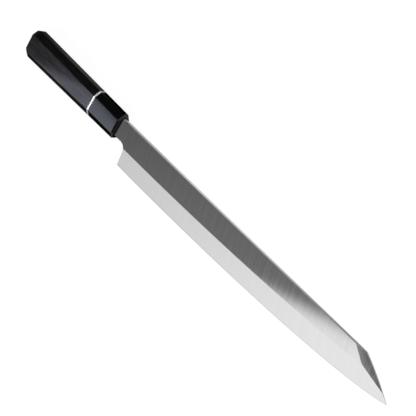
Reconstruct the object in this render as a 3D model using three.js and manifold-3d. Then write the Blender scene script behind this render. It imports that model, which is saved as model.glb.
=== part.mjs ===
// Kiritsuke knife: a single-bevel blade in an octagonal wooden handle. Millimetres.
// X runs from the handle to the tip, Y from the edge to the spine, Z out of the blade's right face.
// The knife lies on the left side of its handle, and the origin is the middle of its base.
import * as THREE from "three";
import { mergeVertices } from "three/addons/utils/BufferGeometryUtils.js";
import Module from "manifold-3d";

const wasm = await Module();
wasm.setup();
const { degToRad, lerp } = THREE.MathUtils;

// Handle: an octagon that narrows from the butt to the front of the ferrule
const HANDLE_LENGTH = 141;
const FERRULE_LENGTH = 36;
const SPACER_THICKNESS = 2;
const FRONT_HEIGHT = 26.6;
const FRONT_WIDTH = 16.7;
const BUTT_HEIGHT = 30.6;
const BUTT_WIDTH = 18.1;
const CORNER_HEIGHT = 6; // the octagon's sloping faces, seen from the side
const CORNER_WIDTH = 5.2; // the same faces, seen from above
const FRONT_CHAMFER = 1.1;
const BUTT_CHAMFER = 2.4;
const BUTT_CHAMFER_LENGTH = 4.5;

// Blade outline, from the ferrule's front face at X = 0
const NECK_LENGTH = 16.4; // ferrule to heel
const NECK_TOP_STEP = 3.9; // the neck's top edge below the ferrule's top face
const NECK_BOTTOM_STEP = 3.7;
const CHOIL_RADIUS = 6.2;
const EDGE_LENGTH = 331.1; // heel to tip
const HEEL_HEIGHT = 41.3;
const SPINE_RISE = 2.4; // the spine's climb from the heel to the clip
const CLIP_LENGTH = 38.3; // along the knife, from the spine's corner to the tip
const CLIP_BULGE = 0.9; // the clip's swell out of a straight line
const TIP_LIFT = 21.8; // the tip above the heel's corner
const EDGE_FLAT = 106; // the reach of the flat stretch of edge at the heel
const EDGE_BELLY = 52; // the reach of the belly behind the tip
const TIP_SWEEP = 17; // degrees that the edge climbs at the tip

// Blade grind
const HEEL_THICKNESS = 4.5;
const CLIP_THICKNESS = 3.1;
const BEVEL_WIDTH = 18.9;
const EDGE_LAND = 0.2;
const EDGE_SHOULDER = 0.32; // the blade's thickness that the bevel would leave at the edge
const EDGE_ANGLE = 20; // degrees of the small bevel along the edge
const FACET_BACK = 11.2; // where the clip's facet starts on the spine, behind its corner
const FACET_TURN = 36; // degrees between the facet's line and the spine
const FACET_TILT = 9.1; // degrees that the facet falls towards the clip
const HOLLOW_DEPTH = 0.4; // the hollow ground back
const HOLLOW_EDGE_RIM = 2;
const HOLLOW_SPINE_RIM = 3;
const HOLLOW_HEEL_RIM = 3;
const HOLLOW_RUNOUT = 36; // the length over which it fades at each end

// Tang, and the dowel that holds it
const NECK_SEAT = 6; // the neck's depth in the ferrule
const BUTT_SOLID = 38; // solid wood behind the dowel
const DOWEL_FLOOR = 6; // solid dowel behind its slot
const DOWEL_WALL = 0.8; // least wood beside the slot
const FERRULE_WALL = 1.9; // least horn round the dowel
const TANG_SHOULDER = 0.25; // the tang's step in from the neck, on each side
const TANG_END_HEIGHT = 5.5;
const TANG_END_THICKNESS = 1.8;
const BEDDING_LENGTH = 42; // resin round the rear of the tang
const BEDDING_FLOOR = 3; // resin behind the tang

// Clearances
const FIT = 0.3; // between a piece and the hole that holds it
const GLUE_LINE = 0.1; // between end faces of the handle's pieces

// Facets and cutters
const ROUND_STEPS = 48;
const CURVE_STEPS = 36;
const HOLLOW_STEPS = 28;
const ARC_STEPS = 8;
const SEARCH_STEPS = 40; // halvings that find a place on the edge
const HOLLOW_END_SHARE = 0.1; // the hollow's width at its very ends, as a share
const OVERCUT = 5; // how far a cutter runs past what it cuts
const MERGE_DISTANCE = 1e-4;

// Levels and places that pieces share
const neckTop = FRONT_HEIGHT / 2 - NECK_TOP_STEP;
const neckBottom = NECK_BOTTOM_STEP - FRONT_HEIGHT / 2;
const heelBottom = neckTop - HEEL_HEIGHT;
const backFace = -HEEL_THICKNESS / 2;
const tipX = NECK_LENGTH + EDGE_LENGTH;
const tipY = heelBottom + TIP_LIFT;
const clipX = tipX - CLIP_LENGTH;
const spacerFront = -FERRULE_LENGTH - GLUE_LINE;
const spacerBack = spacerFront - SPACER_THICKNESS;
const bodyFront = spacerBack - GLUE_LINE;
const dowelFront = -NECK_SEAT - FIT;
const dowelBack = BUTT_SOLID + FIT - HANDLE_LENGTH;
const slotBack = dowelBack + DOWEL_FLOOR;
const tangBack = slotBack + FIT + BEDDING_FLOOR + FIT;
const dowelRadius = FRONT_WIDTH / 2 - FERRULE_WALL - FIT;
const tangThickness = HEEL_THICKNESS - 2 * TANG_SHOULDER;
const slotThickness = tangThickness + 2 * FIT;
const slotHeight = 2 * Math.sqrt((dowelRadius - DOWEL_WALL) ** 2 - (slotThickness / 2) ** 2);
const tangHeight = slotHeight - 2 * FIT;

const spineAt = (x) => neckTop + (SPINE_RISE * (x - NECK_LENGTH)) / (clipX - NECK_LENGTH);
const taper = (HEEL_THICKNESS - CLIP_THICKNESS) / (clipX - NECK_LENGTH);
const rightFaceAt = (x) => backFace + HEEL_THICKNESS - taper * (x - NECK_LENGTH);

const edgeCurve = new THREE.CubicBezierCurve(
  new THREE.Vector2(NECK_LENGTH, heelBottom),
  new THREE.Vector2(NECK_LENGTH + EDGE_FLAT, heelBottom),
  new THREE.Vector2(tipX - EDGE_BELLY, tipY - EDGE_BELLY * Math.tan(degToRad(TIP_SWEEP))),
  new THREE.Vector2(tipX, tipY),
);

// Geometry helpers

// A closed solid through convex sections along +X, each counter-clockwise as seen from +X.
function loft(sections) {
  const count = sections[0].length;
  const last = (sections.length - 1) * count;
  const index = [];
  for (let start = 0; start < last; start += count) {
    for (let i = 0; i < count; i++) {
      const a = start + i;
      const b = start + ((i + 1) % count);
      index.push(a, b, b + count, a, b + count, a + count);
    }
  }
  for (let i = 1; i + 1 < count; i++) {
    index.push(0, i + 1, i, last, last + i, last + i + 1);
  }
  const geometry = new THREE.BufferGeometry().setFromPoints(sections.flat());
  return geometry.setIndex(index);
}

function solid(geometry) {
  geometry.deleteAttribute("normal");
  geometry.deleteAttribute("uv");
  const merged = mergeVertices(geometry, MERGE_DISTANCE);
  const vertProperties = merged.attributes.position.array;
  const triVerts = new Uint32Array(merged.index.array);
  return new wasm.Manifold(new wasm.Mesh({ numProp: 3, vertProperties, triVerts }));
}

function meshOf(name, made, material) {
  const { vertProperties, triVerts } = made.getMesh();
  const geometry = new THREE.BufferGeometry();
  geometry.setAttribute("position", new THREE.BufferAttribute(vertProperties, 3));
  geometry.setIndex(new THREE.BufferAttribute(triVerts, 1));
  geometry.computeVertexNormals();
  const mesh = new THREE.Mesh(geometry, material);
  mesh.name = name;
  return mesh;
}

// A block on the handle's axis, from x = back to x = front.
function block(back, front, height, thickness) {
  const geometry = new THREE.BoxGeometry(front - back, height, thickness);
  return solid(geometry.translate((back + front) / 2, 0, 0));
}

// A rod on the handle's axis, from x = back to x = front.
function rod(back, front, radius) {
  const geometry = new THREE.CylinderGeometry(radius, radius, front - back, ROUND_STEPS);
  return solid(geometry.rotateZ(Math.PI / 2).translate((back + front) / 2, 0, 0));
}

// A block that grinds away all that lies above a sloping plane through a point.
function grinder(point, { fall = 0, tilt = 0, turn = 0 }) {
  const reach = 2 * EDGE_LENGTH;
  const depth = HEEL_THICKNESS + 2 * OVERCUT;
  const geometry = new THREE.BoxGeometry(reach, reach, depth).translate(0, 0, depth / 2);
  return solid(geometry.rotateX(-tilt).rotateY(fall).rotateZ(-turn).translate(...point));
}

// The handle's octagon at x, drawn in by inset on every side.
function octagon(x, inset = 0) {
  const height = lerp(FRONT_HEIGHT, BUTT_HEIGHT, -x / HANDLE_LENGTH) / 2 - inset;
  const width = lerp(FRONT_WIDTH, BUTT_WIDTH, -x / HANDLE_LENGTH) / 2 - inset;
  const cut = inset * Math.tan(Math.PI / 8); // half of an octagon's corner
  const side = height - CORNER_HEIGHT + cut;
  const top = width - CORNER_WIDTH + cut;
  const outline = [
    [-side, -width],
    [side, -width],
    [height, -top],
    [height, top],
    [side, width],
    [-side, width],
    [-height, top],
    [-height, -top],
  ];
  return outline.map(([y, z]) => new THREE.Vector3(x, y, z));
}

// Blade

// The side view of neck and blade, extruded to the full thickness.
function bladeBlank() {
  const outline = new THREE.Shape();
  outline.moveTo(-NECK_SEAT, neckTop);
  outline.lineTo(-NECK_SEAT, neckBottom);
  outline.lineTo(NECK_LENGTH - CHOIL_RADIUS, neckBottom);
  const choilCentre = [NECK_LENGTH - CHOIL_RADIUS, neckBottom - CHOIL_RADIUS];
  outline.absarc(...choilCentre, CHOIL_RADIUS, Math.PI / 2, 0, true);
  outline.lineTo(NECK_LENGTH, heelBottom);
  const { v1, v2, v3 } = edgeCurve;
  outline.bezierCurveTo(v1.x, v1.y, v2.x, v2.y, v3.x, v3.y);
  const corner = new THREE.Vector2(clipX, spineAt(clipX));
  const rise = corner.clone().sub(v3).normalize();
  const swell = new THREE.Vector2(rise.y, -rise.x).multiplyScalar(2 * CLIP_BULGE);
  const bend = swell.add(corner.clone().add(v3).divideScalar(2));
  outline.quadraticCurveTo(bend.x, bend.y, corner.x, corner.y);
  outline.lineTo(NECK_LENGTH, neckTop);
  const settings = { depth: HEEL_THICKNESS, curveSegments: CURVE_STEPS, bevelEnabled: false };
  return solid(new THREE.ExtrudeGeometry(outline, settings).translate(0, 0, backFace));
}

// All that lies above a bevel that rises from a given thickness along the edge.
function edgeGrinder(thickness, slopeAt) {
  const land = backFace + thickness;
  const top = backFace + HEEL_THICKNESS + 2 * OVERCUT;
  const reach = BEVEL_WIDTH + OVERCUT;
  const points = edgeCurve.getPoints(CURVE_STEPS);
  const past = edgeCurve.getTangent(1).multiplyScalar(OVERCUT);
  points.unshift(new THREE.Vector2(NECK_LENGTH - OVERCUT, heelBottom));
  points.push(past.add(edgeCurve.v3));
  return solid(
    loft(
      points.map(({ x, y }) => {
        const slope = slopeAt(x);
        return [
          new THREE.Vector3(x, y - OVERCUT, land - slope * OVERCUT),
          new THREE.Vector3(x, y + reach, land + slope * reach),
          new THREE.Vector3(x, y + reach, top),
          new THREE.Vector3(x, y - OVERCUT, top),
        ];
      }),
    ),
  );
}

// The edge's height at x.
function edgeAt(x) {
  let low = 0;
  let high = 1;
  for (let i = 0; i < SEARCH_STEPS; i++) {
    const half = (low + high) / 2;
    if (edgeCurve.getPoint(half).x < x) {
      low = half;
    } else {
      high = half;
    }
  }
  return edgeCurve.getPoint(low).y;
}

// The shallow hollow of the back, inside a rim that follows the edge and the spine.
function hollowCutter() {
  const start = NECK_LENGTH + HOLLOW_HEEL_RIM;
  const sections = [];
  for (let step = 0; step <= HOLLOW_STEPS; step++) {
    const round = (1 - Math.cos((Math.PI * step) / HOLLOW_STEPS)) / 2;
    const x = lerp(start, clipX, round);
    const fade = Math.min(1, (x - start) / HOLLOW_RUNOUT, (clipX - x) / HOLLOW_RUNOUT);
    const spread = Math.max(HOLLOW_END_SHARE, Math.sqrt(1 - (1 - fade) ** 2));
    const low = edgeAt(x) + HOLLOW_EDGE_RIM;
    const high = spineAt(x) - HOLLOW_SPINE_RIM;
    const middle = (low + high) / 2;
    const half = ((high - low) / 2) * spread;
    const section = [
      new THREE.Vector3(x, middle - half, backFace - OVERCUT),
      new THREE.Vector3(x, middle + half, backFace - OVERCUT),
    ];
    for (let i = 0; i <= ARC_STEPS; i++) {
      const across = 1 - (2 * i) / ARC_STEPS;
      const rise = HOLLOW_DEPTH * spread * spread * (1 - across * across);
      section.push(new THREE.Vector3(x, middle + half * across, backFace + rise));
    }
    sections.push(section);
  }
  return solid(loft(sections));
}

// The tang's rectangle at x, larger by grow on every side.
function tangSection(x, grow = 0) {
  const along = (x + NECK_SEAT) / (tangBack + NECK_SEAT);
  const height = lerp(tangHeight, TANG_END_HEIGHT, along) / 2 + grow;
  const thickness = lerp(tangThickness, TANG_END_THICKNESS, along) / 2 + grow;
  return [
    new THREE.Vector3(x, -height, -thickness),
    new THREE.Vector3(x, height, -thickness),
    new THREE.Vector3(x, height, thickness),
    new THREE.Vector3(x, -height, thickness),
  ];
}

function blade() {
  const taperStart = [NECK_LENGTH, 0, rightFaceAt(NECK_LENGTH)];
  const bevelSlope = (x) => (rightFaceAt(x) - backFace - EDGE_SHOULDER) / BEVEL_WIDTH;
  const edgeSlope = () => Math.tan(degToRad(EDGE_ANGLE));
  const facetX = clipX - FACET_BACK;
  const facetStart = [facetX, spineAt(facetX), rightFaceAt(facetX)];
  const facet = { tilt: degToRad(FACET_TILT), turn: degToRad(FACET_TURN) };
  const tang = solid(loft([tangSection(tangBack), tangSection(-NECK_SEAT + FIT)]));
  return bladeBlank()
    .subtract(grinder(taperStart, { fall: Math.atan(taper) }))
    .subtract(edgeGrinder(EDGE_SHOULDER, bevelSlope))
    .subtract(edgeGrinder(EDGE_LAND, edgeSlope))
    .subtract(grinder(facetStart, facet))
    .subtract(hollowCutter())
    .add(tang);
}

// Handle pieces

function ferrule() {
  const outside = [octagon(-FERRULE_LENGTH), octagon(-FRONT_CHAMFER), octagon(0, FRONT_CHAMFER)];
  const pocketHeight = neckTop - neckBottom + 2 * FIT;
  const pocket = block(-NECK_SEAT - FIT, OVERCUT, pocketHeight, HEEL_THICKNESS + 2 * FIT);
  const bore = rod(-FERRULE_LENGTH - OVERCUT, dowelFront + FIT, dowelRadius + FIT);
  return solid(loft(outside))
    .subtract(pocket.translate(0, (neckTop + neckBottom) / 2, 0))
    .subtract(bore);
}

function spacerRing() {
  const bore = rod(spacerBack - OVERCUT, spacerFront + OVERCUT, dowelRadius + FIT);
  return solid(loft([octagon(spacerBack), octagon(spacerFront)])).subtract(bore);
}

function handleBody() {
  const chamferStart = BUTT_CHAMFER_LENGTH - HANDLE_LENGTH;
  const butt = octagon(-HANDLE_LENGTH, BUTT_CHAMFER);
  const bore = rod(dowelBack - FIT, bodyFront + OVERCUT, dowelRadius + FIT);
  return solid(loft([butt, octagon(chamferStart), octagon(bodyFront)])).subtract(bore);
}

function dowel() {
  const slot = block(slotBack, dowelFront + OVERCUT, slotHeight, slotThickness);
  return rod(dowelBack, dowelFront, dowelRadius).subtract(slot);
}

function tangBedding() {
  const back = slotBack + FIT;
  const plug = block(back, back + BEDDING_LENGTH, slotHeight - 2 * FIT, slotThickness - 2 * FIT);
  const socket = loft([tangSection(tangBack - FIT, FIT), tangSection(-NECK_SEAT, FIT)]);
  return plug.subtract(solid(socket));
}

// Materials

const material = (color, roughness, metalness = 0) =>
  new THREE.MeshStandardMaterial({ color, roughness, metalness });
const steel = material(0xb8babd, 0.3, 1);
const blackHorn = material(0x191a1d, 0.25);
const whiteSpacer = material(0xf1ede2, 0.45);
const ebony = material(0x211d1c, 0.35);
const paleWood = material(0xd6bd8e, 0.7);
const resin = material(0xc9b98f, 0.5);

// Assembly

const knife = new THREE.Group();
knife.add(
  meshOf("blade", blade(), steel),
  meshOf("ferrule", ferrule(), blackHorn),
  meshOf("spacer_ring", spacerRing(), whiteSpacer),
  meshOf("handle_body", handleBody(), ebony),
  meshOf("dowel", dowel(), paleWood),
  meshOf("tang_bedding", tangBedding(), resin),
);
const bounds = new THREE.Box3().setFromObject(knife);
const middle = bounds.getCenter(new THREE.Vector3());
knife.position.set(-middle.x, -middle.y, -bounds.min.z);

export default knife;
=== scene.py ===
"""Kiritsuke knife: the ground steel, horn and ebony of a long single-bevel kitchen knife."""

import math

import bmesh
import bpy
from bpy.props import FloatProperty, FloatVectorProperty, PointerProperty
from bpy.types import Operator, Panel, PropertyGroup
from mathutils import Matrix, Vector


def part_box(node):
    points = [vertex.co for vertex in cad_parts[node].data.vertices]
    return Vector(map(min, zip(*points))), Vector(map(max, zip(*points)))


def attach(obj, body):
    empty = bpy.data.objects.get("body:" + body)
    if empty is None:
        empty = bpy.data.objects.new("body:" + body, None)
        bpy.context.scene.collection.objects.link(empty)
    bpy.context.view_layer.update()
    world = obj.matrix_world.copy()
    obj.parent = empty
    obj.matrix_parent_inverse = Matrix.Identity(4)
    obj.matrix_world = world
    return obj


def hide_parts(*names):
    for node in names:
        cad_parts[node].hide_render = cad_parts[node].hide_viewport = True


bl_info = {
    "name": "Kiritsuke knife",
    "version": (1, 0, 0),
    "blender": (4, 5, 0),
    "location": "3D View > Sidebar > Knife",
    "description": "Finishes a single-bevel knife with an octagonal handle, in a plain studio",
    "category": "Object",
}

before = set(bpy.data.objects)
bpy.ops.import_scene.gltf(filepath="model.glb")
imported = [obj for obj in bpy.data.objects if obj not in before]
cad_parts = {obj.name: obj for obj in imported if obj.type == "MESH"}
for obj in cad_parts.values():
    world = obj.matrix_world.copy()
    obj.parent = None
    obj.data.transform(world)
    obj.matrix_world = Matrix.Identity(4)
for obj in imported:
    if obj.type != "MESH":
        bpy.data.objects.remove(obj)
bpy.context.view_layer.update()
MILLIMETRE = 0.001

# Shaping
HANDLE_NODES = ("handle_body", "spacer_ring", "ferrule")  # from the butt to the front
MERGE_DISTANCE = 1e-6
FLAT_ANGLE = math.radians(0.02)  # faces that meet at less become one
CREASE_ANGLE = math.radians(1.5)  # faces that meet at more keep a crisp edge
CORNER_ANGLE = math.radians(12.0)  # faces of the handle that meet at more have a corner
FACING = 0.9  # the part of a unit normal with which a face looks along an axis
WALL_TILT = 0.5  # the walls of the blade's outline have less of their normal along Z
LONG_EDGE = 5 * MILLIMETRE
EASE_SEGMENTS = 3
EASE_ROOM = 2.5  # a wall that is eased is deeper than this many roundings

# Grind: the blade's finishes in their order, and the normals that tell them apart
FLAT, BEVEL, EDGE, FACET, RIM, BACK = range(6)
EDGE_TILT = -0.3
BEVEL_TILT = -0.05
FACET_TILT = 0.05
FACET_TURN = 0.02

# Steel
SCRATCH_TURN = math.radians(18.5)
FINE_SCRATCH = (0.3 * MILLIMETRE, 30 * MILLIMETRE, 30 * MILLIMETRE)
BROAD_SCRATCH = (1.8 * MILLIMETRE, 45 * MILLIMETRE, 45 * MILLIMETRE)
FINE_SHARE = 0.4
SCRATCH_GAIN = 2.5
SCRATCH_DEPTH = 0.0015 * MILLIMETRE
# Root stretch past the ferrule: a grey that is not metal, a painted reflection that stands in for
# the light the neck and spine mirror there
ROOT_SHINE_END = (0.16 * MILLIMETRE, 0.8 * MILLIMETRE)  # past the ferrule
ROOT_PAINTED_END = (2.24 * MILLIMETRE, 4.8 * MILLIMETRE)
ROOT_ROUGHNESS = 0.5
FLAT_ROOT_PAINTED_GREY = 0.185
RIM_ROOT_PAINTED_GREY = 0.6
CLIP_OUTWARD = Vector((0.5, 0.87, 0.0))
FACET_PAINTED_LIGHT = (1.65, 0.95)  # painted light: the facet's colour is scaled by this from its inner line to the clip

# Horn, wood, spacer and resin
ROUGHNESS_SWING = 0.05
HORN_CLOUD = (16 * MILLIMETRE, 5.5 * MILLIMETRE, 5.5 * MILLIMETRE)
HORN_SPECULAR = 0.45
EBONY_LINE = (40 * MILLIMETRE, 0.7 * MILLIMETRE, 0.7 * MILLIMETRE)
EBONY_FIGURE = (20 * MILLIMETRE, 3.2 * MILLIMETRE, 3.2 * MILLIMETRE)
EBONY_SPECULAR = 0.25
EBONY_TINT = (1.0, 0.92, 0.9, 1.0)
EBONY_PORE_DEPTH = 0.03 * MILLIMETRE
EBONY_PORE_STRENGTH = 0.1
OIL_SHEEN = (0.36, 0.64)  # the coat's weight from the plain wood to the figure
OIL_ROUGHNESS = 0.3
SPACER_CLOUD = (2.5 * MILLIMETRE, 2.5 * MILLIMETRE, 2.5 * MILLIMETRE)
DOWEL_LINE = (50 * MILLIMETRE, 2 * MILLIMETRE, 2 * MILLIMETRE)
DOWEL_DARK = (0.5, 0.35, 0.17, 1.0)
DOWEL_PALE = (0.7, 0.54, 0.3, 1.0)
RESIN_CLOUD = (5 * MILLIMETRE, 5 * MILLIMETRE, 5 * MILLIMETRE)
RESIN_DARK = (0.5, 0.4, 0.2, 1.0)
RESIN_PALE = (0.62, 0.53, 0.3, 1.0)

# Studio
FLOOR_GREY = 0.2
FLOOR_GLOW = 0.9
WALL_WAY = (0.16, -0.99, 0.0)  # to the bright wall on the edge's side
FLAG_WAY = (0.762, -0.385, 0.52)  # to the dark flag that the ferrule's front chamfer mirrors
OVERHEAD_WAY = (0.0, -0.5, 1.0)
COOL_LIGHT = (0.77, 0.83, 1.0)
WHITE_LIGHT = (1.0, 1.0, 1.0)
VIEW_RANGE = (0.01, 50.0)


class Wire:
    """An output of a shader node, which takes part in Python expressions."""

    def __init__(self, socket):
        self.socket = socket
        self.tree = socket.id_data

    def node(self, kind, settings=None, inputs=None, output=0):
        """Adds a node, sets it, fills its inputs with values or links, and gives one output."""
        made = self.tree.nodes.new(kind)
        for name, value in (settings or {}).items():
            setattr(made, name, value)
        fill(made, inputs or {})
        return Wire(made.outputs[output])

    def math(self, operation, first, second):
        return self.node("ShaderNodeMath", {"operation": operation}, {0: first, 1: second})

    def __add__(self, other):
        return self.math("ADD", self, other)

    def __sub__(self, other):
        return self.math("SUBTRACT", self, other)

    def __rsub__(self, other):
        return self.math("SUBTRACT", other, self)

    def __mul__(self, other):
        return self.math("MULTIPLY", self, other)

    __radd__ = __add__
    __rmul__ = __mul__

    def rise(self, low, high, start=0.0, end=1.0):
        """A smooth climb from start to end while this value goes from low to high."""
        settings = {"interpolation_type": "SMOOTHSTEP"}
        limits = {"From Min": low, "From Max": high, "To Min": start, "To Max": end}
        return self.node("ShaderNodeMapRange", settings, {"Value": self, **limits})

    def between(self, first, second):
        """The first value where this one is 0, the second where it is 1."""
        return (second - first) * self + first

    def blend(self, first, second):
        """The first colour where this value is 0, the second where it is 1."""
        colours = {"Factor": self, 6: first, 7: second}
        return self.node("ShaderNodeMix", {"data_type": "RGBA"}, colours, 2)

    def scaled(self, share):
        """This colour times a value."""
        return self.node("ShaderNodeVectorMath", {"operation": "SCALE"}, {0: self, "Scale": share})

    def toward(self, way):
        """How far this vector reaches along a direction."""
        settings = {"operation": "DOT_PRODUCT"}
        return self.node("ShaderNodeVectorMath", settings, {0: self, 1: way}, "Value")

    def axes(self):
        """The X, Y and Z parts of this vector."""
        parts = self.node("ShaderNodeSeparateXYZ", {}, {"Vector": self}).socket.node.outputs
        return [Wire(part) for part in parts]

    def grain(self, size, turn=0.0, detail=3.0, roughness=0.6):
        """Noise on these coordinates, with grains of a size along each axis, turned about Z."""
        stretched = self.node(
            "ShaderNodeMapping",
            {"vector_type": "TEXTURE"},
            {"Vector": self, "Scale": size, "Rotation": (0.0, 0.0, turn)},
        )
        noise = {"Vector": stretched, "Scale": 1.0, "Detail": detail, "Roughness": roughness}
        return self.node("ShaderNodeTexNoise", {}, noise)

    def bump(self, strength, height):
        """A normal bent by this height, in metres."""
        inputs = {"Strength": strength, "Distance": height, "Height": self}
        return self.node("ShaderNodeBump", {}, inputs)


def fill(node, inputs):
    """Sets a node's sockets to values, or links them to wires."""
    for name, value in inputs.items():
        if isinstance(value, Wire):
            node.id_data.links.new(value.socket, node.inputs[name])
        else:
            node.inputs[name].default_value = value


def new_finish(name):
    """A new material, its shader and the object's coordinates."""
    material = bpy.data.materials.new(name)
    material.use_nodes = True
    tree = material.node_tree
    shader = tree.nodes["Principled BSDF"]
    place = Wire(tree.nodes.new("ShaderNodeTexCoord").outputs["Object"])
    return material, shader, place


def grey(level):
    """A grey with its alpha."""
    return (level, level, level, 1.0)


def shade(colour, share=1.0):
    """A darker or lighter shade of a colour, with its alpha."""
    return (*[min(1.0, share * part) for part in colour], 1.0)


def solid_copy(node):
    """A mesh of the solid with its doubled vertices merged and its flat faces whole."""
    bm = bmesh.new()
    bm.from_mesh(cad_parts[node].data)
    bmesh.ops.remove_doubles(bm, verts=bm.verts, dist=MERGE_DISTANCE)
    flat = [
        edge
        for edge in bm.edges
        if len(edge.link_faces) == 2
        and edge.calc_face_angle() < FLAT_ANGLE
        and abs(edge.link_faces[0].normal.x) < FACING
    ]
    bmesh.ops.dissolve_edges(bm, edges=flat, use_verts=False)
    bm.normal_update()
    return bm


def ease(bm, edges, width):
    """Rounds the edges and gives the new faces."""
    return bmesh.ops.bevel(
        bm,
        geom=edges,
        offset=width,
        offset_type="OFFSET",
        affect="EDGES",
        segments=EASE_SEGMENTS,
        profile=0.5,
        material=-1,
        clamp_overlap=False,
    )["faces"]


def crease(bm, rounded):
    """Smooth shading, broken at every edge except those within a rounding."""
    rounded = set(rounded)
    for face in bm.faces:
        face.smooth = True
    for edge in bm.edges:
        if len(edge.link_faces) != 2 or rounded.issuperset(edge.link_faces):
            continue
        edge.smooth = edge.calc_face_angle() < CREASE_ANGLE


def place_piece(bm, name, node, materials):
    """Makes the piece that stands for a solid and rides with it."""
    mesh = bpy.data.meshes.new(name)
    bm.to_mesh(mesh)
    bm.free()
    piece = bpy.data.objects.new(name, mesh)
    bpy.context.scene.collection.objects.link(piece)
    for material in materials:
        mesh.materials.append(material)
    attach(piece, "root")
    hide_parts(node)
    return piece


class KnifeBlade(PropertyGroup):
    """Sizes and colours of the blade's finish."""

    ease: FloatProperty(
        name="Eased edges",
        description="Rounding along spine and neck",
        default=0.5 * MILLIMETRE,
        unit="LENGTH",
        precision=5,
    )
    flat_colour: FloatVectorProperty(
        name="Flat",
        description="Steel of the brushed flat",
        subtype="COLOR",
        default=(0.75, 0.75, 0.755),
        min=0.0,
        max=1.0,
    )
    bevel_colour: FloatVectorProperty(
        name="Bevel",
        description="Steel of the fine ground bevel",
        subtype="COLOR",
        default=(0.8, 0.8, 0.805),
        min=0.0,
        max=1.0,
    )
    facet_colour: FloatVectorProperty(
        name="Facet",
        description="Steel of the facet behind the clip",
        subtype="COLOR",
        default=(0.58, 0.58, 0.585),
        min=0.0,
        max=1.0,
    )
    edge_colour: FloatVectorProperty(
        name="Edge",
        description="Steel of the small bevel along the cutting edge",
        subtype="COLOR",
        default=(0.58, 0.58, 0.585),
        min=0.0,
        max=1.0,
    )
    rim_colour: FloatVectorProperty(
        name="Spine, rim and back",
        description="Steel of the spine, the neck, the choil and the hollow back",
        subtype="COLOR",
        default=(0.5, 0.5, 0.505),
        min=0.0,
        max=1.0,
    )
    flat_roughness: FloatProperty(
        name="Flat roughness",
        description="Blur of the reflections in the flat and the back",
        default=0.05,
        min=0.0,
        max=1.0,
        subtype="FACTOR",
    )
    bevel_roughness: FloatProperty(
        name="Bevel roughness",
        description="Blur of the reflections in the bevel, the edge and the rim",
        default=0.2,
        min=0.0,
        max=1.0,
        subtype="FACTOR",
    )
    facet_roughness: FloatProperty(
        name="Facet roughness",
        description="Blur of the reflections in the clip's facet",
        default=0.33,
        min=0.0,
        max=1.0,
        subtype="FACTOR",
    )


class KnifeHandle(PropertyGroup):
    """Sizes and colours of the handle's finish."""

    ease: FloatProperty(
        name="Eased edges",
        description="Rounding along the handle's corners",
        default=0.3 * MILLIMETRE,
        unit="LENGTH",
        precision=5,
    )
    horn_colour: FloatVectorProperty(
        name="Horn",
        description="Polished black horn",
        subtype="COLOR",
        default=(0.0022, 0.0023, 0.0026),
        min=0.0,
        max=1.0,
    )
    ebony_colour: FloatVectorProperty(
        name="Ebony",
        description="Dark ground of the wood",
        subtype="COLOR",
        default=(0.0028, 0.0024, 0.0025),
        min=0.0,
        max=1.0,
    )
    figure_colour: FloatVectorProperty(
        name="Ebony figure",
        description="Warm patches in the wood",
        subtype="COLOR",
        default=(0.0072, 0.0045, 0.005),
        min=0.0,
        max=1.0,
    )
    spacer_colour: FloatVectorProperty(
        name="Spacer",
        description="White ring",
        subtype="COLOR",
        default=(0.93, 0.9, 0.83),
        min=0.0,
        max=1.0,
    )
    horn_roughness: FloatProperty(
        name="Horn roughness",
        description="Blur of the horn's reflections",
        default=0.08,
        min=0.0,
        max=1.0,
        subtype="FACTOR",
    )
    ebony_roughness: FloatProperty(
        name="Ebony roughness",
        description="Blur of the wood's own reflections, under the oil",
        default=0.06,
        min=0.0,
        max=1.0,
        subtype="FACTOR",
    )
    spacer_roughness: FloatProperty(
        name="Spacer roughness",
        description="Blur of the ring's reflections",
        default=0.12,
        min=0.0,
        max=1.0,
        subtype="FACTOR",
    )


class KnifeStage(PropertyGroup):
    """Floor, studio light and camera."""

    camera_place: FloatVectorProperty(
        name="Camera",
        description="Where the camera stands",
        subtype="TRANSLATION",
        unit="LENGTH",
        default=(0.338012, 0.332223, 0.658923),
    )
    camera_turn: FloatVectorProperty(
        name="Camera turn",
        description="The camera's rotation",
        subtype="EULER",
        default=(-0.07334571, 0.60332718, 0.65822663),
    )
    lens: FloatProperty(
        name="Lens",
        description="Focal length in millimetres",
        default=77.885,
        unit="CAMERA",
    )
    floor_size: FloatProperty(
        name="Floor",
        description="Half of the floor's side",
        default=3.0,
        unit="LENGTH",
    )
    dim: FloatProperty(
        name="Dim side",
        description="Light from the studio's dim side",
        default=0.155,
        min=0.0,
    )
    bright: FloatProperty(
        name="Bright wall",
        description="Light from the wall on the edge's side",
        default=1.0,
        min=0.0,
    )


class KNIFE_OT_blade(Operator):
    """Grind the blade: brushed flat, fine bevel, clip facet, hollow back and eased spine"""

    bl_idname = "knife.blade"
    bl_label = "Blade"

    def execute(self, context):
        settings = context.scene.knife_blade
        bm = solid_copy("blade")
        ferrule_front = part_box("ferrule")[1].x
        eased = []
        for edge in bm.edges:
            walls = [face for face in edge.link_faces if abs(face.normal.z) < WALL_TILT]
            on_blade = max(vert.co.x for vert in edge.verts) > ferrule_front
            if len(walls) != 1 or not on_blade or edge.calc_length() <= LONG_EDGE:
                continue
            deep = depth_of(walls[0]) > EASE_ROOM * settings.ease
            if deep and abs(walls[0].normal.y) > FACING:
                eased.append(edge)
        crease(bm, ease(bm, eased, settings.ease))
        for face in bm.faces:
            face.material_index = finish_of(face.normal)
        place_piece(bm, "ground_blade", "blade", grind(bm, settings, ferrule_front))
        return {"FINISHED"}


def depth_of(face):
    """How far a face reaches through the blade's thickness."""
    levels = [vert.co.z for vert in face.verts]
    return max(levels) - min(levels)


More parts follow.
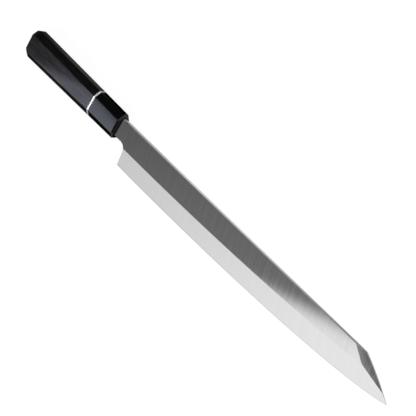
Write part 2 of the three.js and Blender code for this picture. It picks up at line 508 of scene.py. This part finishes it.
def finish_of(normal):
    """Which of the blade's finishes a face has."""
    if abs(normal.z) < FACING:
        return RIM
    if normal.z < 0:
        return BACK
    if normal.y < EDGE_TILT:
        return EDGE
    if normal.y < BEVEL_TILT:
        return BEVEL
    if normal.y > FACET_TILT:
        return FACET if normal.x > FACET_TURN else RIM
    return FLAT


def grind(bm, settings, root):
    """The blade's finishes, in their order. Root is where the neck leaves the ferrule."""
    facets = [face for face in bm.faces if face.material_index == FACET]
    facet = max(facets, key=lambda face: face.calc_area())
    reach = [vert.co.dot(CLIP_OUTWARD) for vert in facet.verts]
    smooth, fine = settings.flat_roughness, settings.bevel_roughness
    # painted reflection: the flat and the rim turn to a lit grey just past the ferrule
    flat_painted_root, rim_painted_root = (root, FLAT_ROOT_PAINTED_GREY), (root, RIM_ROOT_PAINTED_GREY)
    return [
        steel("flat_steel", settings.flat_colour, smooth, contrast=0.1, painted_root=flat_painted_root),
        steel("bevel_steel", settings.bevel_colour, fine, contrast=0.03),
        steel("edge_steel", settings.edge_colour, fine, contrast=0.03),
        steel(
            "facet_steel",
            settings.facet_colour,
            settings.facet_roughness,
            contrast=0.35,
            # painted light: the facet is brighter at its inner line and darker towards the clip
            painted_light=(min(reach), max(reach), *FACET_PAINTED_LIGHT),
        ),
        steel("rim_steel", settings.rim_colour, fine, contrast=0.03, painted_root=rim_painted_root),
        steel("back_steel", settings.rim_colour, smooth, contrast=0.06),
    ]


def steel(name, colour, roughness, contrast, painted_root=None, painted_light=None):
    """Steel with scratches that lean across the blade.

    One optional argument gives the place and the grey of a short stretch past the ferrule that is
    not metal, a painted reflection that stands in for the light the neck mirrors there; the other
    gives painted light across the facet, lighter at its inner line and darker towards the clip.
    """
    material, shader, place = new_finish(name)
    fine = place.grain(FINE_SCRATCH, SCRATCH_TURN)
    broad = place.grain(BROAD_SCRATCH, SCRATCH_TURN)
    mark = fine * FINE_SHARE + broad * (1 - FINE_SHARE) - 0.5
    tone = (mark * SCRATCH_GAIN + 0.5).blend(
        shade(colour, 1 - contrast), shade(colour, 1 + contrast)
    )
    blur = mark * ROUGHNESS_SWING + roughness
    metal = 1.0
    # painted reflection: past the ferrule the steel turns to a lit grey that stands in for the
    # brightness the neck mirrors
    if painted_root:
        root, level = painted_root
        past_root = place.axes()[0] - root
        metal = past_root.rise(*ROOT_PAINTED_END) + past_root.rise(*ROOT_SHINE_END, 1.0, 0.0)
        tone = (metal * metal * metal).blend(grey(level), tone)
        blur = metal.between(ROOT_ROUGHNESS, blur)
    # painted light: the facet's colour is scaled lighter at its inner line, darker towards the
    # clip
    if painted_light:
        tone = tone.scaled(place.toward(CLIP_OUTWARD).rise(*painted_light))
    fill(
        shader,
        {
            "Base Color": tone,
            "Metallic": metal,
            "Roughness": blur,
            "Normal": broad.bump(1.0, SCRATCH_DEPTH),
        },
    )
    return material


class KNIFE_OT_handle(Operator):
    """Shape the handle: horn ferrule, white spacer and ebony body"""

    bl_idname = "knife.handle"
    bl_label = "Handle"

    def execute(self, context):
        settings = context.scene.knife_handle
        glued = [corner.x for node in HANDLE_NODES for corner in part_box(node)][1:-1]
        for node, name, slot, finish in (
            ("ferrule", "horn_ferrule", "black_horn", horn(settings)),
            ("spacer_ring", "white_ring", "white_spacer", spacer(settings)),
            ("handle_body", "ebony_body", "ebony", ebony(settings)),
        ):
            place_piece(handle_copy(node, settings.ease, glued), name, node, [finish])
        return {"FINISHED"}


def handle_copy(node, width, glued):
    """A handle piece with its corners eased, apart from those of its glued ends."""
    bm = solid_copy(node)
    low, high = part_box(node)
    axis = (low + high) / 2
    corners = []
    for edge in bm.edges:
        first, second = (vert.co for vert in edge.verts)
        outward = Vector((0.0, *((first + second) / 2 - axis).yz))
        reach = [max(abs(first.x - end), abs(second.x - end)) for end in glued]
        if min(reach) < MERGE_DISTANCE or edge.calc_face_angle() < CORNER_ANGLE:
            continue
        if all(face.normal.dot(outward) > -MERGE_DISTANCE for face in edge.link_faces):
            corners.append(edge)
    crease(bm, ease(bm, corners, width))
    return bm


def horn(settings):
    """Polished black horn with a faint cloud."""
    material, shader, place = new_finish("polished_horn")
    colour = settings.horn_colour
    cloud = place.grain(HORN_CLOUD, detail=4.0)
    fill(
        shader,
        {
            "Base Color": cloud.rise(0.5, 0.8).blend(shade(colour), shade(colour, 2.0)),
            "Roughness": cloud * ROUGHNESS_SWING + settings.horn_roughness,
            "Specular IOR Level": HORN_SPECULAR,
        },
    )
    return material


def ebony(settings):
    """Oiled black wood, with fine lines and a faint warm figure along the handle."""
    material, shader, place = new_finish("oiled_ebony")
    colour = settings.ebony_colour
    line = place.grain(EBONY_LINE, detail=4.0)
    figure = place.grain(EBONY_FIGURE)
    ground = line.rise(0.5, 0.8).blend(shade(colour), shade(colour, 2.5))
    fill(
        shader,
        {
            "Base Color": figure.rise(0.45, 0.7).blend(ground, shade(settings.figure_colour)),
            "Roughness": line * ROUGHNESS_SWING + settings.ebony_roughness,
            "Specular IOR Level": EBONY_SPECULAR,
            "Specular Tint": EBONY_TINT,
            "Coat Weight": figure.rise(0.35, 0.65, *OIL_SHEEN),
            "Coat Roughness": OIL_ROUGHNESS,
            "Normal": line.bump(EBONY_PORE_STRENGTH, EBONY_PORE_DEPTH),
        },
    )
    return material


def spacer(settings):
    """Smooth white ring."""
    material, shader, place = new_finish("white_ring")
    colour = settings.spacer_colour
    cloud = place.grain(SPACER_CLOUD)
    fill(
        shader,
        {
            "Base Color": cloud.blend(shade(colour, 0.96), shade(colour)),
            "Roughness": cloud * ROUGHNESS_SWING + settings.spacer_roughness,
        },
    )
    return material


class KNIFE_OT_core(Operator):
    """Finish the dowel and the resin that are hidden in the handle"""

    bl_idname = "knife.core"
    bl_label = "Dowel and bedding"

    def execute(self, context):
        for node, finish in (("dowel", dowel_wood()), ("tang_bedding", resin())):
            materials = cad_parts[node].data.materials
            materials.clear()
            materials.append(finish)
        return {"FINISHED"}


def dowel_wood():
    """Bare pale wood."""
    material, shader, place = new_finish("pale_dowel")
    line = place.grain(DOWEL_LINE, detail=4.0)
    tone = line.blend(DOWEL_DARK, DOWEL_PALE)
    fill(shader, {"Base Color": tone, "Roughness": line * 0.2 + 0.6})
    return material


def resin():
    """Cast amber resin."""
    material, shader, place = new_finish("amber_resin")
    cloud = place.grain(RESIN_CLOUD)
    tone = cloud.blend(RESIN_DARK, RESIN_PALE)
    fill(shader, {"Base Color": tone, "Roughness": cloud * 0.1 + 0.4})
    return material


class KNIFE_OT_stage(Operator):
    """Set the floor, the studio light and the camera"""

    bl_idname = "knife.stage"
    bl_label = "Stage"

    def execute(self, context):
        settings = context.scene.knife_stage
        scene = context.scene
        scene.view_settings.view_transform = "Standard"
        make_floor(scene, settings)
        make_world(scene, settings)
        make_lamps(scene)
        make_camera(scene, settings)
        return {"FINISHED"}


def make_floor(scene, settings):
    """A plain floor that the knife rests on with its ferrule and its tip."""
    ferrule_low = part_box("ferrule")[0]
    ferrule_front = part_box("ferrule")[1].x
    blade_low, blade_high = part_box("blade")
    slope = (blade_low.z - ferrule_low.z) / (blade_high.x - ferrule_front)
    bm = bmesh.new()
    bmesh.ops.create_grid(bm, x_segments=1, y_segments=1, size=settings.floor_size)
    for vert in bm.verts:
        vert.co.z = ferrule_low.z + slope * (vert.co.x - ferrule_front)
    mesh = bpy.data.meshes.new("floor")
    bm.to_mesh(mesh)
    bm.free()
    floor = bpy.data.objects.new("floor", mesh)
    scene.collection.objects.link(floor)
    mesh.materials.append(floor_finish())


def floor_finish():
    """White to the camera. To reflections it is black, apart from strips beside the knife that
    glow though they are no lamp, painted light that the spine and the handle's top mirror.
    """
    material, shader, place = new_finish("white_floor")
    path = material.node_tree.nodes.new("ShaderNodeLightPath").outputs
    glossy = Wire(path["Is Glossy Ray"])
    seen = Wire(path["Is Camera Ray"]) + Wire(path["Is Transmission Ray"])
    along, across = place.axes()[:2]
    spine_side = across.rise(0.01, 0.02)

    past_heel = along.rise(-0.09, -0.08)
    past_ferrule = along.rise(-0.112, -0.109)
    beside_blade = spine_side.between(past_heel, past_ferrule)
    from_neck = along.rise(-0.1, 0.0, 0.65, 1.0)
    to_tip = along.rise(0.05, 0.2, 1.0, 0.5)
    past_clip = along.rise(0.2, 0.21, 0.0, 0.2)
    blade_glow_strip = beside_blade * (from_neck * to_tip + past_clip)

    from_butt = along.rise(-0.25, -0.19, 0.4, 1.0)
    to_ring = along.rise(-0.152, -0.142, 0.2, 0.0)
    body_glow_strip = to_ring * from_butt * spine_side

    # painted light: glow seen only in reflections, in strips beside the blade and the body
    glow = seen * FLOOR_GLOW + glossy * (blade_glow_strip + body_glow_strip)
    fill(
        shader,
        {
            "Base Color": glossy.blend(grey(FLOOR_GREY), grey(0.0)),
            "Roughness": 1.0,
            "Specular IOR Level": 0.0,
            "Emission Color": glow.blend(grey(0.0), grey(1.0)),
            "Emission Strength": 1.0,
        },
    )
    return material


def make_world(scene, settings):
    """A studio, white to the camera, with a bright wall on the edge's side and dim elsewhere."""
    world = bpy.data.worlds.new("studio")
    world.use_nodes = True
    tree = world.node_tree
    direction = Wire(tree.nodes.new("ShaderNodeTexCoord").outputs["Generated"])
    path = tree.nodes.new("ShaderNodeLightPath").outputs
    along, across, height = direction.axes()
    toward_wall = direction.toward(WALL_WAY)

    wall_left = along.rise(-0.55, -0.15, 0.7, 1.0)
    wall_right = along.rise(0.05, 0.3, 1.0, 0.5)
    dark_right = along.rise(0.05, 0.3, 1.0, 0.2) * along.rise(0.45, 0.55, 1.0, 0.3)
    dark_patch = height.rise(0.42, 0.6) * across.rise(-0.55, -0.45)
    flag = direction.toward(FLAG_WAY).rise(0.965, 0.985, 1.0, 0.1)
    wall = wall_left * dark_patch.between(wall_right, dark_right) * flag * settings.bright

    above_wall = toward_wall.rise(0.26, 0.37, 0.75, 1.15) * settings.dim
    at_ends = (along * along).rise(0.55, 0.75)
    front = at_ends.between(above_wall, 0.35)

    low_behind = along.rise(-0.35, -0.1, 0.03, 0.35) + along.rise(0.3, 0.55, 0.0, 0.4)
    high_behind = height.rise(0.5, 0.9, 0.3, 0.55)
    overhead = direction.toward(OVERHEAD_WAY).rise(0.19, 0.32)
    behind = overhead.between(low_behind, high_behind)

    room = across.rise(0.0, 0.4).between(front, behind)
    level = toward_wall.rise(0.376, 0.395).between(room, wall)
    seen = Wire(path["Is Camera Ray"]) + Wire(path["Is Transmission Ray"])
    light = seen.between(level, 1.0)
    fill(
        tree.nodes["Background"],
        {"Color": light.blend(grey(0.0), grey(1.0)), "Strength": 1.0},
    )
    scene.world = world


def make_lamps(scene):
    """A softbox each for ferrule, body and ring to mirror, and a soft key by the camera."""
    front = add_softbox(
        scene, "front_softbox", place=(-0.278, -0.4795, 0.35), size=(0.551, 0.65), radiance=2.85
    )
    front.rotation_euler.z = math.radians(-4.0)
    light_only(front, "horn_ferrule")

    body = add_softbox(
        scene, "body_softbox", place=(-0.200, -0.4248, 0.35), size=(0.499, 0.65), radiance=2.85
    )
    body.rotation_euler.z = math.radians(16.0)
    light_only(body, "ebony_body")

    ring = add_softbox(
        scene, "ring_softbox", place=(-0.49, -0.23, 0.5), size=(0.3, 0.3), radiance=12.0
    )
    ring.visible_diffuse = False
    light_only(ring, "white_ring")

    key = add_softbox(
        scene, "key_softbox", place=(0.65, 0.55, 1.2), size=(0.9, 0.9), radiance=3.0
    )
    key.rotation_euler = key.location.to_track_quat("Z", "Y").to_euler()
    key.data.color = WHITE_LIGHT
    key.visible_glossy = False


def add_softbox(scene, name, place, size, radiance):
    """A cool rectangular lamp that shows the same brightness from wherever it is seen."""
    light = bpy.data.lights.new(name, "AREA")
    light.shape = "RECTANGLE"
    light.size, light.size_y = size
    light.energy = radiance * math.pi * size[0] * size[1]
    light.color = COOL_LIGHT
    lamp = bpy.data.objects.new(name, light)
    lamp.location = place
    scene.collection.objects.link(lamp)
    return lamp


def light_only(lamp, name):
    """Keeps a lamp's light to the named piece."""
    taken = bpy.data.collections.new(lamp.name + "_pieces")
    taken.objects.link(bpy.data.objects[name])
    lamp.light_linking.receiver_collection = taken


def make_camera(scene, settings):
    """The camera, at the photograph's viewing angle."""
    data = bpy.data.cameras.new("camera")
    data.lens = settings.lens
    data.clip_start, data.clip_end = VIEW_RANGE
    camera = bpy.data.objects.new("camera", data)
    camera.location = settings.camera_place
    camera.rotation_euler = settings.camera_turn
    scene.collection.objects.link(camera)
    scene.camera = camera


class KNIFE_PT_panel(Panel):
    """Sizes and colours of the knife, and its operators"""

    bl_idname = "KNIFE_PT_panel"
    bl_label = "Kiritsuke knife"
    bl_space_type = "VIEW_3D"
    bl_region_type = "UI"
    bl_category = "Knife"

    def draw(self, context):
        layout = self.layout
        for group, operators in PANEL_ROWS:
            box = layout.box()
            settings = getattr(context.scene, group)
            for name in settings.bl_rna.properties.keys():
                if name not in ("name", "rna_type"):
                    box.prop(settings, name)
            for operator in operators:
                box.operator(operator)


PANEL_ROWS = (
    ("knife_blade", ("knife.blade",)),
    ("knife_handle", ("knife.handle", "knife.core")),
    ("knife_stage", ("knife.stage",)),
)
GROUPS = {"knife_blade": KnifeBlade, "knife_handle": KnifeHandle, "knife_stage": KnifeStage}
CLASSES = (
    *GROUPS.values(),
    KNIFE_OT_blade,
    KNIFE_OT_handle,
    KNIFE_OT_core,
    KNIFE_OT_stage,
    KNIFE_PT_panel,
)


def register():
    for made in CLASSES:
        bpy.utils.register_class(made)
    for name, group in GROUPS.items():
        setattr(bpy.types.Scene, name, PointerProperty(type=group))


def unregister():
    for name in GROUPS:
        delattr(bpy.types.Scene, name)
    for made in reversed(CLASSES):
        bpy.utils.unregister_class(made)


def main():
    register()
    bpy.ops.knife.blade()
    bpy.ops.knife.handle()
    bpy.ops.knife.core()
    bpy.ops.knife.stage()


if __name__ == "__main__":
    main()
